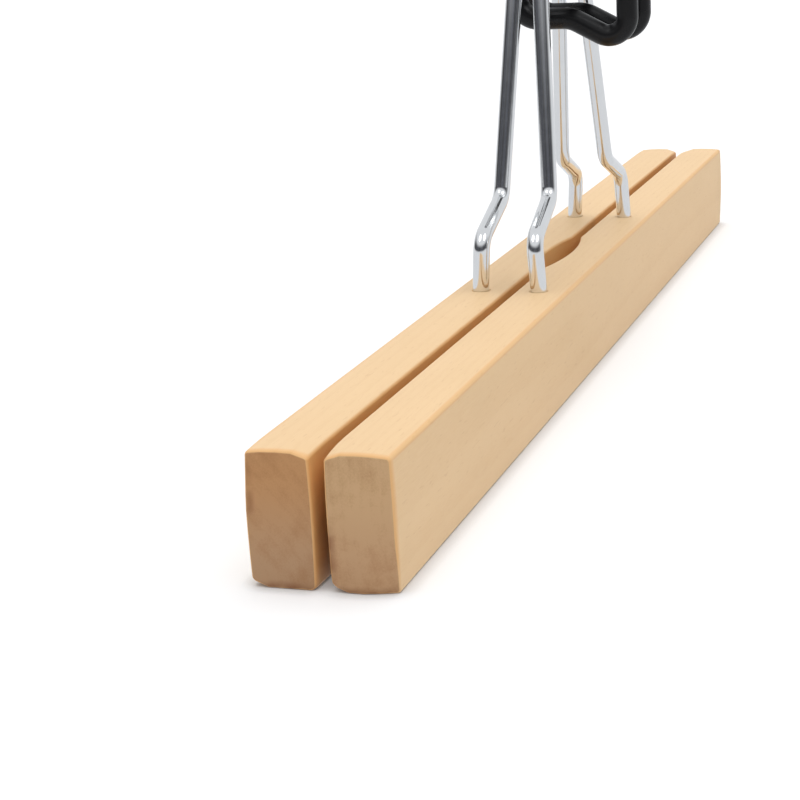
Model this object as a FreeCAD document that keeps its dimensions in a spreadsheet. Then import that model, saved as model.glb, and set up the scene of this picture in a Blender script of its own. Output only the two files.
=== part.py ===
"""Skirt hanger: two wooden jaw bars on bent wire frames, hinged under a swivel hook.

Lengths are millimetres. X runs along the bars, the front is -Y and Z is up. The origin lies on the
table that the bars stand on, midway between the two bars and midway along them.
"""
import FreeCAD, Part
import enum
import math
import os
import Sketcher

# Driving dimensions: alias, value and what it measures.
SIZES = [
    ("bar_length", 285, "wooden bar, end to end"),
    ("bar_height", 21, "wooden bar, table to top"),
    ("bar_thickness", 10.7, "wooden bar, across its crowned faces"),
    ("bar_side_crown", 0.2, "bulge of the bar's two side faces"),
    ("bar_top_crown", 0.3, "bulge of the bar's top face"),
    ("bar_inner_top_radius", 0.55, "rounding of the bar's upper corner at the gap"),
    ("bar_outer_top_radius", 0.55, "rounding of the bar's upper corner at its outer face"),
    ("bar_inner_bottom_radius", 0.9, "rounding of the bar's lower corner at the gap"),
    ("bar_outer_bottom_radius", 0.6, "rounding of the bar's lower corner at its outer face"),
    ("bar_end_radius", 0.45, "easing round the bar's end faces"),
    ("jaw_gap", 1.5, "space between the two bars at rest"),
    ("scoop_length", 32, "shallow hollow in a bar's inner face, along the bar"),
    ("scoop_depth", 1.8, "the hollow's depth"),
    ("wire_diameter", 3.2, "frame wire"),
    ("leg_inset", 0.33, "leg's offset from the bar's centre line towards the gap"),
    ("leg_depth", 15, "length of the leg inside the bar"),
    ("leg_fit", 0.03, "radial glue space round a leg"),
    ("leg_half_spacing", 38.9, "leg to the middle of the bar"),
    ("jog_low_height", 30.85, "outer corner of the frame's jog above the table"),
    ("jog_high_height", 36.5, "inner corner of the jog above the table"),
    ("jog_half_width", 25, "inner corner of the jog to the middle"),
    ("jog_bend_radius", 4, "wire bend at the jog"),
    ("hinge_height", 90, "hinge axes above the table"),
    ("hinge_half_width", 15.3, "upright's line to the middle, at the hinge axis"),
    ("hinge_gap", 0.43, "space between the two frames' cross runs"),
    ("shoulder_bend_radius", 5.5, "wire bend between an upright and its cross run"),
    ("hinge_clearance", 0.03, "radial play of a cross run in the strap"),
    ("strap_width", 8, "hinge strap, along the bars"),
    ("strap_thickness", 0.8, "hinge strap's sheet"),
    ("strap_head_room", 4, "space in the strap above the cross runs"),
    ("strap_top_bend", 0.8, "inner bend at the strap's upper corners"),
    ("hook_diameter", 3.4, "hook wire"),
    ("hook_head_diameter", 5.8, "riveted head under the strap's top"),
    ("hook_head_height", 1.8, "riveted head's thickness"),
    ("hook_collar_diameter", 6.2, "pressed collar on the shank"),
    ("hook_collar_height", 1.6, "collar's thickness"),
    ("hook_play", 0.1, "end play of the hook's swivel, each side"),
    ("hook_hole_clearance", 0.05, "radial play of the shank in its holes"),
    ("washer_diameter", 7.6, "washer under the collar"),
    ("washer_thickness", 0.8, "washer's sheet"),
    ("shank_rise", 8, "straight shank above the collar"),
    ("hook_neck_radius", 10, "reverse bend between the shank and the crook"),
    ("hook_radius", 20, "crook's bend, to the wire's centre"),
    ("hook_tip_radius", 1.5, "rounding of the hook's tip"),
    ("slide_wire_diameter", 3.2, "wire inside the lock slide"),
    ("vinyl_thickness", 0.55, "dipped coat on the lock slide"),
    ("ring_drop", 11, "hinge axes down to the lock slide's ring"),
    ("ring_clearance", 0.5, "frame wire to the ring, front and rear"),
    ("ring_side_clearance", 0.9, "frame wire to the ring, at its ends"),
    ("ring_bend_radius", 5, "ring's corner bends"),
    ("arm_half_spacing", 6.4, "lock slide's arm to the middle"),
    ("arm_drop", 9.4, "ring down to the two arms"),
    ("riser_inset", 2.45, "how far the risers lean in below the ring"),
    ("riser_bend_radius", 4, "bend from the ring into a riser"),
    ("arm_bend_radius", 4.35, "bend from a riser into an arm"),
    ("dip_start", 5.7, "middle plane forward to where the arms dip"),
    ("dip_bend_radius", 6.9, "bend where the arms dip"),
    ("tab_reach", 17.2, "middle plane forward to the upturned thumb tab"),
    ("tab_drop", 6.1, "arms down to the corner under the thumb tab"),
    ("tab_bend_radius", 3.7, "bend from the dip up into the thumb tab"),
    ("tab_rise", 10.6, "corner under the tab up to the spring of its arch"),
    ("cut_overrun", 1, "how far a cut runs past the face it opens"),
]
# Where the crook ends, as an angle round it from the bars' direction.
HOOK_TIP_ANGLE = 205
# An edge counts as running along X when this share of its direction does.
ALONG_SHARE = 0.9999
# Two heights this close are the same.
SAME_HEIGHT = 1e-6
# The middle of a quarter arch, as an angle up from its spring.
HAUNCH_ANGLE = 45

# Derived places, written as expressions on the sheet's cells.
BAR_Y = "(Sizes.jaw_gap / 2 + Sizes.bar_thickness / 2)"
LEG_Y = f"({BAR_Y} - Sizes.leg_inset)"
HINGE_Y = "(Sizes.wire_diameter / 2 + Sizes.hinge_gap / 2)"
LEAN = f"atan(({LEG_Y} - {HINGE_Y}) / (Sizes.hinge_height - Sizes.bar_height))"
SEAT_RADIUS = "(Sizes.wire_diameter / 2 + Sizes.hinge_clearance)"
STRAP_FLOOR = f"(Sizes.hinge_height - {SEAT_RADIUS})"
STRAP_CEILING = f"(Sizes.hinge_height + {SEAT_RADIUS} + Sizes.strap_head_room)"
STRAP_TOP = f"({STRAP_CEILING} + Sizes.strap_thickness)"
HEAD_BASE = f"({STRAP_CEILING} - Sizes.hook_play - Sizes.hook_head_height)"
COLLAR_BASE = f"({STRAP_TOP} + Sizes.washer_thickness + Sizes.hook_play)"
SHANK_TOP = f"({COLLAR_BASE} + Sizes.hook_collar_height + Sizes.shank_rise)"
SHANK_HOLE_RADIUS = "(Sizes.hook_diameter / 2 + Sizes.hook_hole_clearance)"

# A bar section's corners: name, whether it faces the gap, and whether it is an upper one.
BAR_CORNERS = [
    ("inner_top", True, True),
    ("outer_top", False, True),
    ("inner_bottom", True, False),
    ("outer_bottom", False, False),
]

AXIS_X = FreeCAD.Vector(1, 0, 0)


class Side(enum.IntEnum):
    """Which way a jaw lies from the middle plane, as a sign along Y."""

    FRONT = -1
    REAR = 1


class Spot(enum.IntEnum):
    """A sketch curve's own points, as constraints number them."""

    START = 1
    END = 2
    CENTRE = 3


class Guide(enum.IntEnum):
    """A sketch's own axes, as constraints number them. The origin is the horizontal axis's start."""

    HORIZONTAL = -1
    VERTICAL = -2


doc = FreeCAD.newDocument("skirt_hanger")
sheet = doc.addObject("Spreadsheet::Sheet", "Sizes")


def fill_sheet():
    """Write each driving dimension to a row of the sheet and name its cell."""
    for row, (alias, value, note) in enumerate(SIZES, start=1):
        sheet.set(f"A{row}", note)
        sheet.set(f"B{row}", str(value))
        sheet.setAlias(f"B{row}", alias)
    doc.recompute()


def size(alias):
    return float(sheet.get(alias))


def value_of(expression):
    """Work out an expression on the sheet's cells as a plain number."""
    result = sheet.evalExpression(expression)
    return float(getattr(result, "Value", result))


def bind(thing, **expressions):
    for name, expression in expressions.items():
        thing.setExpression(name, expression)


def place(thing, x="0", y="0", z="0", turn=None):
    """Bind a placement: an offset, and a turn about X."""
    thing.Placement = FreeCAD.Placement(FreeCAD.Vector(), FreeCAD.Rotation(AXIS_X, 1))
    thing.setExpression("Placement.Base.x", x)
    thing.setExpression("Placement.Base.y", y)
    thing.setExpression("Placement.Base.z", z)
    thing.setExpression("Placement.Rotation.Angle", turn or "0")


def new_body(label):
    body = doc.addObject("PartDesign::Body", label)
    body.Label = label
    return body


def origin_plane(body, role):
    return next(plane for plane in body.Origin.OriginFeatures if plane.Role == role)


def new_sketch(body, role, name):
    sketch = body.newObject("Sketcher::SketchObject", name)
    sketch.AttachmentSupport = [(origin_plane(body, role), "")]
    sketch.MapMode = "FlatFace"
    return sketch


def rule(sketch, kind, *references, size_from=None):
    """Add a constraint, driven by the sheet where an expression is given."""
    if size_from is None:
        return sketch.addConstraint(Sketcher.Constraint(kind, *references))
    index = sketch.addConstraint(Sketcher.Constraint(kind, *references, value_of(size_from)))
    sketch.setExpression(f"Constraints[{index}]", size_from)
    return index


def drum(body, name, kind, radius, height):
    """Add a round boss or a round cut to a body."""
    feature = body.newObject(f"PartDesign::{kind}Cylinder", name)
    bind(feature, Radius=radius, Height=height)
    return feature


def mirror_feature(body, name, feature):
    """Repeat a feature on the other side of the middle plane."""
    mirrored = body.newObject("PartDesign::Mirrored", name)
    mirrored.Originals = [feature]
    mirrored.MirrorPlane = (origin_plane(body, "YZ_Plane"), [""])
    body.Tip = mirrored
    return mirrored


def round_edges(body, name, base, wanted, radius):
    """Fillet the edges of a feature that a test picks."""
    doc.recompute()
    names = [f"Edge{i}" for i, edge in enumerate(base.Shape.Edges, start=1) if wanted(edge)]
    fillet = body.newObject("PartDesign::Fillet", name)
    fillet.Base = (base, names)
    bind(fillet, Radius=radius)
    return fillet


def runs_along_x(edge):
    return abs(edge.tangentAt(edge.FirstParameter).x) > ALONG_SHARE


def sagitta_radius(chord, rise):
    """Radius of the arc that rises over a chord, as an expression."""
    return f"((({chord}) / 2)^2 + ({rise})^2) / (2 * ({rise}))"


def arc_through(first, middle, last):
    points = [FreeCAD.Vector(*point, 0) for point in (first, middle, last)]
    return Part.Arc(*points)


def draw_bar_section(sketch):
    """A flat-bottomed section with two crowned sides and a crowned top."""
    base = "Sizes.bar_thickness - 2 * Sizes.bar_side_crown"
    shoulder = "Sizes.bar_height - Sizes.bar_top_crown"
    half = value_of(base) / 2
    wall = value_of(shoulder)
    side = size("bar_thickness") / 2
    left, right = (-half, 0), (half, 0)
    upper_left, upper_right = (-half, wall), (half, wall)
    bottom = sketch.addGeometry(Part.LineSegment(FreeCAD.Vector(*left, 0), FreeCAD.Vector(*right, 0)))
    right_side = sketch.addGeometry(arc_through(right, (side, wall / 2), upper_right))
    top = sketch.addGeometry(arc_through(upper_right, (0, size("bar_height")), upper_left))
    left_side = sketch.addGeometry(arc_through(upper_left, (-side, wall / 2), left))
    loop = [bottom, right_side, top, left_side]
    for current, following in zip(loop, loop[1:] + loop[:1]):
        rule(sketch, "Coincident", current, Spot.END, following, Spot.START)
    rule(sketch, "PointOnObject", bottom, Spot.START, Guide.HORIZONTAL)
    rule(sketch, "Symmetric", bottom, Spot.START, bottom, Spot.END, Guide.VERTICAL)
    rule(sketch, "Symmetric", top, Spot.START, top, Spot.END, Guide.VERTICAL)
    rule(sketch, "DistanceX", bottom, Spot.START, bottom, Spot.END, size_from=base)
    rule(sketch, "DistanceX", top, Spot.END, top, Spot.START, size_from=base)
    rule(sketch, "DistanceY", bottom, Spot.END, top, Spot.START, size_from=shoulder)
    rule(sketch, "Radius", right_side, size_from=sagitta_radius(shoulder, "Sizes.bar_side_crown"))
    rule(sketch, "Radius", left_side, size_from=sagitta_radius(shoulder, "Sizes.bar_side_crown"))
    rule(sketch, "Radius", top, size_from=sagitta_radius(base, "Sizes.bar_top_crown"))


def bar_corner(side, inner, upper):
    """A test that picks the long edge at one corner of a bar's section."""
    middle = size("bar_height") / 2

    def wanted(edge):
        spot = edge.CenterOfMass
        return runs_along_x(edge) and (spot.y * side < 0) == inner and (spot.z > middle) == upper

    return wanted


def make_bar(label, side):
    """One jaw bar: rounded wood, a finger hollow in its inner face and two leg holes."""
    body = new_body(label)
    section = new_sketch(body, "YZ_Plane", f"{label}_section")
    draw_bar_section(section)
    stick = body.newObject("PartDesign::Pad", f"{label}_stick")
    stick.Profile = section
    stick.SideType = "Symmetric"
    bind(stick, Length="Sizes.bar_length")
    shaped = stick
    for corner, inner, upper in BAR_CORNERS:
        wanted = bar_corner(side, inner, upper)
        shaped = round_edges(body, f"{label}_{corner}", shaped, wanted, f"Sizes.bar_{corner}_radius")
    end_x = size("bar_length") / 2
    round_edges(
        body,
        f"{label}_ends",
        shaped,
        lambda edge: math.isclose(abs(edge.CenterOfMass.x), end_x),
        "Sizes.bar_end_radius",
    )
    scoop_radius = sagitta_radius("Sizes.scoop_length", "Sizes.scoop_depth")
    scoop_height = "Sizes.bar_height + 2 * Sizes.cut_overrun"
    scoop = drum(body, f"{label}_scoop", "Subtractive", scoop_radius, scoop_height)
    scoop_y = f"{side} * ({scoop_radius} + Sizes.bar_thickness / 2 - Sizes.scoop_depth)"
    place(scoop, y=f"-({scoop_y})", z="-Sizes.cut_overrun")
    hole = drum(
        body,
        f"{label}_leg_hole",
        "Subtractive",
        "Sizes.wire_diameter / 2 + Sizes.leg_fit",
        "Sizes.leg_depth + Sizes.cut_overrun",
    )
    place(
        hole,
        x="Sizes.leg_half_spacing",
        y=f"{side} * (Sizes.leg_depth * sin({LEAN}) - Sizes.leg_inset)",
        z=f"Sizes.bar_height - Sizes.leg_depth * cos({LEAN})",
        turn=f"{side} * {LEAN}",
    )
    mirror_feature(body, f"{label}_leg_holes", hole)
    place(body, y=f"{side} * {BAR_Y}")
    return body


def frame_corners():
    """Corners of half a frame in its own plane: across, and up from the hinge axis."""
    slant = f"cos({LEAN})"
    shoulder = ("Sizes.hinge_half_width", "0")
    jog_high = ("Sizes.jog_half_width", f"(Sizes.jog_high_height - Sizes.hinge_height) / {slant}")
    jog_low = ("Sizes.leg_half_spacing", f"(Sizes.jog_low_height - Sizes.hinge_height) / {slant}")
    bar_top = f"(Sizes.bar_height - Sizes.hinge_height) / {slant}"
    leg_end = ("Sizes.leg_half_spacing", f"{bar_top} - Sizes.leg_depth")
    return shoulder, jog_high, jog_low, leg_end


def rounded_corner(before, corner, after, radius):
    """Tangent points and middle of the arc that rounds a corner between two straight runs."""
    back = (before - corner).normalize()
    onward = (after - corner).normalize()
    half_angle = back.getAngle(onward) / 2
    reach = radius / math.tan(half_angle)
    middle_way = (back + onward).normalize()
    middle = corner + middle_way * (radius / math.sin(half_angle) - radius)
    return corner + back * reach, middle, corner + onward * reach


def draw_frame_path(sketch):
    """Half of a frame's centre line: cross run, shoulder, upright, jog and leg."""
    places = frame_corners()
    points = [FreeCAD.Vector()] + [FreeCAD.Vector(value_of(x), value_of(y), 0) for x, y in places]
    radii = ["Sizes.shoulder_bend_radius", "Sizes.jog_bend_radius", "Sizes.jog_bend_radius"]
    runs, bends = [], []
    run_start = points[0]
    for index, radius in enumerate(radii, start=1):
        start, middle, end = rounded_corner(*points[index - 1:index + 2], value_of(radius))
        runs.append(sketch.addGeometry(Part.LineSegment(run_start, start)))
        bends.append(sketch.addGeometry(Part.Arc(start, middle, end)))
        run_start = end
    runs.append(sketch.addGeometry(Part.LineSegment(run_start, points[-1])))
    corners = [sketch.addGeometry(Part.Point(point), True) for point in points[1:-1]]
    rule(sketch, "Coincident", runs[0], Spot.START, Guide.HORIZONTAL, Spot.START)
    rule(sketch, "Horizontal", runs[0])
    rule(sketch, "Vertical", runs[-1])
    for index, bend in enumerate(bends):
        join_tangent(sketch, runs[index], Spot.END, bend)
        join_tangent(sketch, runs[index + 1], Spot.START, bend)
        rule(sketch, "Radius", bend, size_from=radii[index])
    for corner, (across, up) in zip(corners, places):
        rule(sketch, "DistanceX", Guide.HORIZONTAL, Spot.START, corner, Spot.START, size_from=across)
        rule(sketch, "DistanceY", corner, Spot.START, Guide.HORIZONTAL, Spot.START, size_from=f"-({up})")
    for index, corner in enumerate(corners[1:], start=1):
        rule(sketch, "PointOnObject", corner, Spot.START, runs[index])
        rule(sketch, "PointOnObject", corner, Spot.START, runs[index + 1])
    rule(sketch, "PointOnObject", corners[0], Spot.START, runs[1])
    leg_drop = f"-({places[-1][1]})"
    rule(sketch, "DistanceY", runs[-1], Spot.END, Guide.HORIZONTAL, Spot.START, size_from=leg_drop)


def join_tangent(sketch, line, line_end, arc):
    """Join a line's end smoothly to whichever end of an arc lies there."""
    here = sketch.getPoint(line, line_end)
    ends = (Spot.START, Spot.END)
    arc_end = min(ends, key=lambda end: sketch.getPoint(arc, end).distanceToPoint(here))
    rule(sketch, "Tangent", line, line_end, arc, arc_end)


def sweep_round(body, name, path, section_role, radius):
    """Sweep a round wire along a path sketch that starts at the body's own origin."""
    section = new_sketch(body, section_role, f"{name}_section")
    circle = section.addGeometry(Part.Circle(FreeCAD.Vector(), FreeCAD.Vector(0, 0, 1), value_of(radius)))
    rule(section, "Coincident", circle, Spot.CENTRE, Guide.HORIZONTAL, Spot.START)
    rule(section, "Radius", circle, size_from=radius)
    doc.recompute()
    pipe = body.newObject("PartDesign::AdditivePipe", name)
    pipe.Profile = section
    pipe.Spine = (path, [f"Edge{i}" for i in range(1, len(path.Shape.Edges) + 1)])
    return pipe


def make_frame(label, side):
    """One wire frame: a cross run in the hinge, two jogged legs and their ends in the bar."""
    body = new_body(label)
    path = new_sketch(body, "XZ_Plane", f"{label}_path")
    draw_frame_path(path)
    half = sweep_round(body, f"{label}_half", path, "YZ_Plane", "Sizes.wire_diameter / 2")
    mirror_feature(body, f"{label}_whole", half)
    place(body, y=f"{side} * {HINGE_Y}", z="Sizes.hinge_height", turn=f"{side} * {LEAN}")
    return body


def add_block(body, name, kind, half_depth, floor, ceiling):
    """Add a block or a square cut across the strap, centred on the middle plane."""
    block = body.newObject(f"PartDesign::{kind}Box", name)
    overrun = "2 * Sizes.cut_overrun" if kind == "Subtractive" else "0"
    length = f"(Sizes.strap_width + {overrun})"
    bind(block, Length=length, Width=f"2 * {half_depth}", Height=f"{ceiling} - {floor}")
    place(block, x=f"-{length} / 2", y=f"-{half_depth}", z=floor)
    return block


def edges_at(height):
    """Pick the edges that run along X at a height, wherever they lie in depth."""
    level = value_of(height)
    return lambda edge: runs_along_x(edge) and abs(edge.CenterOfMass.z - level) < SAME_HEIGHT


def make_hinge_strap():
    """A bent strap that holds both cross runs in its lower corners, with a hole for the hook on top."""
    body = new_body("hinge_strap")
    inner_half = f"({HINGE_Y} + {SEAT_RADIUS})"
    outer_half = f"({inner_half} + Sizes.strap_thickness)"
    outer_floor = f"({STRAP_FLOOR} - Sizes.strap_thickness)"
    outside = add_block(body, "strap_outside", "Additive", outer_half, outer_floor, STRAP_TOP)
    outer_seat = f"{SEAT_RADIUS} + Sizes.strap_thickness"
    outer_bend = "Sizes.strap_top_bend + Sizes.strap_thickness"
    lower = round_edges(body, "strap_lower", outside, edges_at(outer_floor), outer_seat)
    round_edges(body, "strap_upper", lower, edges_at(STRAP_TOP), outer_bend)
    inside = add_block(body, "strap_inside", "Subtractive", inner_half, STRAP_FLOOR, STRAP_CEILING)
    seats = round_edges(body, "strap_seats", inside, edges_at(STRAP_FLOOR), SEAT_RADIUS)
    round_edges(body, "strap_bends", seats, edges_at(STRAP_CEILING), "Sizes.strap_top_bend")
    hole_height = "Sizes.strap_thickness + 2 * Sizes.cut_overrun"
    hole = drum(body, "strap_hole", "Subtractive", SHANK_HOLE_RADIUS, hole_height)
    place(hole, z=f"{STRAP_CEILING} - Sizes.cut_overrun")
    return body


def make_hook_washer():
    body = new_body("hook_washer")
    disc = drum(body, "washer_disc", "Additive", "Sizes.washer_diameter / 2", "Sizes.washer_thickness")
    place(disc, z=STRAP_TOP)
    hole_height = "Sizes.washer_thickness + 2 * Sizes.cut_overrun"
    hole = drum(body, "washer_hole", "Subtractive", SHANK_HOLE_RADIUS, hole_height)
    place(hole, z=f"{STRAP_TOP} - Sizes.cut_overrun")
    return body


def draw_hook_path(sketch, shank):
    """The hook's centre line: shank, reverse bend and crook, in the plane along the bars."""
    neck, crook, rise = size("hook_neck_radius"), size("hook_radius"), value_of(shank)
    turn = math.acos(neck / (neck + crook))
    tip = math.radians(HOOK_TIP_ANGLE)
    normal = FreeCAD.Vector(0, 0, 1)
    neck_circle = Part.Circle(FreeCAD.Vector(neck, rise, 0), normal, neck)
    crook_centre = FreeCAD.Vector(0, rise + (neck + crook) * math.sin(turn), 0)
    crook_circle = Part.Circle(crook_centre, normal, crook)
    straight = sketch.addGeometry(Part.LineSegment(FreeCAD.Vector(), FreeCAD.Vector(0, rise, 0)))
    bend = sketch.addGeometry(Part.ArcOfCircle(neck_circle, math.pi - turn, math.pi))
    round_over = sketch.addGeometry(Part.ArcOfCircle(crook_circle, -turn, tip))
    rule(sketch, "Coincident", straight, Spot.START, Guide.HORIZONTAL, Spot.START)
    rule(sketch, "Vertical", straight)
    rule(sketch, "DistanceY", straight, Spot.START, straight, Spot.END, size_from=shank)
    rule(sketch, "Tangent", straight, Spot.END, bend, Spot.END)
    rule(sketch, "Tangent", bend, Spot.START, round_over, Spot.START)
    rule(sketch, "Radius", bend, size_from="Sizes.hook_neck_radius")
    rule(sketch, "Radius", round_over, size_from="Sizes.hook_radius")
    rule(sketch, "PointOnObject", round_over, Spot.CENTRE, Guide.VERTICAL)
    drop = f"Sizes.hook_radius * {-math.sin(tip)}"
    rule(sketch, "DistanceY", round_over, Spot.END, round_over, Spot.CENTRE, size_from=drop)


def make_hook():
    """Swivel hook: riveted head inside the strap, collar above the washer, shank and crook."""
    body = new_body("hook")
    path = new_sketch(body, "XZ_Plane", "hook_path")
    draw_hook_path(path, f"{SHANK_TOP} - {HEAD_BASE}")
    sweep_round(body, "hook_wire", path, "XY_Plane", "Sizes.hook_diameter / 2")
    head_radius = "Sizes.hook_head_diameter / 2"
    head = drum(body, "hook_head", "Additive", head_radius, "Sizes.hook_head_height")
    place(head)
    collar_radius = "Sizes.hook_collar_diameter / 2"
    collar = drum(body, "hook_collar", "Additive", collar_radius, "Sizes.hook_collar_height")
    place(collar, z=f"{COLLAR_BASE} - {HEAD_BASE}")
    doc.recompute()
    tip = path.Shape.Edges[-1].Vertexes[-1].Point
    round_edges(
        body,
        "hook_tip",
        collar,
        lambda edge: edge.CenterOfMass.distanceToPoint(tip) < size("hook_diameter") / 2,
        "Sizes.hook_tip_radius",
    )
    place(body, z=HEAD_BASE)
    return body


def slide_route():
    """Corners and bend radii of half the lock slide's wire, from the ring's front to the tab's arch."""
    wire_radius = size("wire_diameter") / 2
    coat_radius = size("slide_wire_diameter") / 2 + size("vinyl_thickness")
    lean = math.radians(value_of(LEAN))
    frame_rise = size("hinge_height") - size("jog_high_height")
    spread = (size("jog_half_width") - size("hinge_half_width")) / frame_rise
    ring_z = size("hinge_height") - size("ring_drop")
    ring_y = value_of(HINGE_Y) + size("ring_drop") * math.tan(lean) + wire_radius / math.cos(lean)
    ring_y += size("ring_clearance") + coat_radius
    ring_x = size("hinge_half_width") + size("ring_drop") * spread + wire_radius * math.hypot(1, spread)
    ring_x += size("ring_side_clearance") + coat_radius
    arm_x = size("arm_half_spacing")
    arm_z = ring_z - size("arm_drop")
    tab_z = arm_z - size("tab_drop")
    corners = [
        (0, -ring_y, ring_z),
        (ring_x, -ring_y, ring_z),
        (ring_x, ring_y, ring_z),
        (arm_x, ring_y, ring_z),
        (arm_x, ring_y - size("riser_inset"), arm_z),
        (arm_x, -size("dip_start"), arm_z),
        (arm_x, -size("tab_reach"), tab_z),
        (arm_x, -size("tab_reach"), tab_z + size("tab_rise")),
    ]
    radii = [
        size("ring_bend_radius"),
        size("ring_bend_radius"),
        size("riser_bend_radius"),
        size("arm_bend_radius"),
        size("dip_bend_radius"),
        size("tab_bend_radius"),
    ]
    return [FreeCAD.Vector(*corner) for corner in corners], radii


def slide_path():
    """Half the lock slide's centre line, as straight runs, tangent bends and half of the tab's arch."""
    corners, radii = slide_route()
    edges = []
    run_start = corners[0]
    for index, radius in enumerate(radii, start=1):
        start, middle, end = rounded_corner(*corners[index - 1:index + 2], radius)
        edges.append(Part.LineSegment(run_start, start).toShape())
        edges.append(Part.Arc(start, middle, end).toShape())
        run_start = end
    spring = corners[-1]
    edges.append(Part.LineSegment(run_start, spring).toShape())
    arch = size("arm_half_spacing")
    crown = spring + FreeCAD.Vector(-arch, 0, arch)
    haunch_angle = math.radians(HAUNCH_ANGLE)
    haunch = spring + FreeCAD.Vector(arch * math.cos(haunch_angle) - arch, 0, arch * math.sin(haunch_angle))
    edges.append(Part.Arc(spring, haunch, crown).toShape())
    return edges


def sweep_slide(radius):
    """Both halves of the lock slide's closed loop at a given radius."""
    edges = slide_path()
    spine = Part.Wire(edges)
    start = edges[0].Vertexes[0].Point
    ring = Part.Wire([Part.makeCircle(radius, start, AXIS_X)])
    half = spine.makePipeShell([ring], True, False)
    expected = math.pi * radius ** 2 * spine.Length
    print(f"slide half at radius {radius}: volume {half.Volume:.1f}, section times length {expected:.1f}")
    other = half.mirror(FreeCAD.Vector(), AXIS_X)
    return half.fuse(other).removeSplitter()


def make_slide():
    """The lock slide: a closed loop of bent wire inside a dipped vinyl coat."""
    wire_radius = size("slide_wire_diameter") / 2
    core_shape = sweep_slide(wire_radius)
    coat_shape = sweep_slide(wire_radius + size("vinyl_thickness")).cut(core_shape)
    made = []
    for label, shape in (("lock_slide_wire", core_shape), ("lock_slide_coating", coat_shape)):
        feature = doc.addObject("Part::Feature", label)
        feature.Label = label
        feature.Shape = shape.Solids[0]
        made.append(feature)
    return made


def check_document(pieces):
    """Stop before anything is written if an object failed or a piece isn't one valid solid."""
    for thing in doc.Objects:
        if {"Invalid", "Error"} & set(thing.State):
            raise RuntimeError(f"{thing.Label} failed: {thing.State} {thing.getStatusString()}")
    for piece in pieces:
        shape = piece.Shape
        if shape.isNull() or not shape.isValid() or len(shape.Solids) != 1:
            raise RuntimeError(f"{piece.Label} isn't one valid solid")


def main():
    fill_sheet()
    pieces = [
        make_bar("front_bar", Side.FRONT),
        make_bar("rear_bar", Side.REAR),
        make_frame("front_frame", Side.FRONT),
        make_frame("rear_frame", Side.REAR),
        make_hinge_strap(),
        make_hook_washer(),
        make_hook(),
        *make_slide(),
    ]
    doc.recompute()
    check_document(pieces)
    os.makedirs("parts", exist_ok=True)
    for piece in pieces:
        piece.Shape.exportStep(f"parts/{piece.Label}.step")
        box = piece.Shape.BoundBox
        print(f"{piece.Label}: volume {piece.Shape.Volume:.1f}, x {box.XMin:.2f} to {box.XMax:.2f}, "
              f"y {box.YMin:.2f} to {box.YMax:.2f}, z {box.ZMin:.2f} to {box.ZMax:.2f}")


main()
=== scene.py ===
"""A skirt hanger standing on white: wooden jaw bars, chrome wire, a black dipped lock slide and a hook.

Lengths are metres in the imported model's frame: X along the bars, the front is -Y and Z is up.
"""
import math
import bpy
from mathutils import Matrix, Vector


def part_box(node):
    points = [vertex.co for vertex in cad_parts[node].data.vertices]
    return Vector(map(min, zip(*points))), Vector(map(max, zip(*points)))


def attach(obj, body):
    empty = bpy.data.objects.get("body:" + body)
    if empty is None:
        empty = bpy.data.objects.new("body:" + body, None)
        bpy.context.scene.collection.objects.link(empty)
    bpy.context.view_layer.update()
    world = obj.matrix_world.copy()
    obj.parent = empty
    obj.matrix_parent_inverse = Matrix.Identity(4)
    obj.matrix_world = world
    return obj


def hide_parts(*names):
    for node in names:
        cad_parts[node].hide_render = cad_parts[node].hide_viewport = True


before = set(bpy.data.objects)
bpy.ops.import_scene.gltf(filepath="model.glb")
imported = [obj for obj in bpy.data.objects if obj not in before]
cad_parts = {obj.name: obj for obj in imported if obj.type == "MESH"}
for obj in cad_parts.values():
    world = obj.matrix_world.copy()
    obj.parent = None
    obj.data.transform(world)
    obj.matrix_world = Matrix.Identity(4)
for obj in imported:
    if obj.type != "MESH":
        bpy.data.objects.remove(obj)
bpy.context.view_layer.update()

# The photograph's camera: where it stands, how it is turned in radians, and its lens.
CAMERA_PLACE = Vector((-0.36856, -0.09391, 0.09715))
CAMERA_YAW = 0.34267
CAMERA_PITCH = 0.27564
CAMERA_ROLL = -0.05818
FOCAL_PIXELS = 1818.9
PHOTO_PIXELS = 800
SENSOR_MM = 36
CLIP_START = 0.01

# The wooden bars.
SIDE_CROWN = 0.0002
TOP_CROWN = 0.0003
END_EASING = 0.00045
SCOOP_HALF = 0.016
SCOOP_DEPTH = 0.0018
# From the gap into a bar: how far a push on the inner face is full, and where it has faded out.
PUSH_FULL = 0.0014
PUSH_END = 0.0045
# Hand sanding towards a bar's ends: how far in it starts, how wide it is, and what it takes off.
SANDED_REACH = 0.009
SANDED_WIDTH = 0.0028
SANDED_DROP = 0.0006
SANDED_LEAD_IN = 0.0003
SANDED_HEEL = 0.001
SANDED_CHEEK = 0.0004
SANDED_FACE = 0.0014
# Long corners: whether a corner faces the gap, whether it is an upper one, and its rounding.
BAR_CORNERS = [
    (True, True, 0.00055),
    (False, True, 0.00055),
    (True, False, 0.0009),
    (False, False, 0.0006),
]

# The wire frames: half of one in its own plane, with the hinge axis at the middle of its cross run.
# A jog's corners are distances from the middle and heights above the table.
WIRE_RADIUS = 0.0016
HINGE_HEIGHT = 0.09
HINGE_Y = 0.001815
HINGE_HALF_WIDTH = 0.0153
JOG_HIGH = (0.025, 0.0365)
JOG_LOW = (0.0389, 0.03085)
LEG_Y = 0.00577
LEG_DEPTH = 0.015
LEG_FIT = 0.00003
RIM_CHAMFER = 0.0003
SHOULDER_BEND = 0.0055
JOG_BEND = 0.004
JAWS = {-1: "front_jaw", 1: "rear_jaw"}

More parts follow.
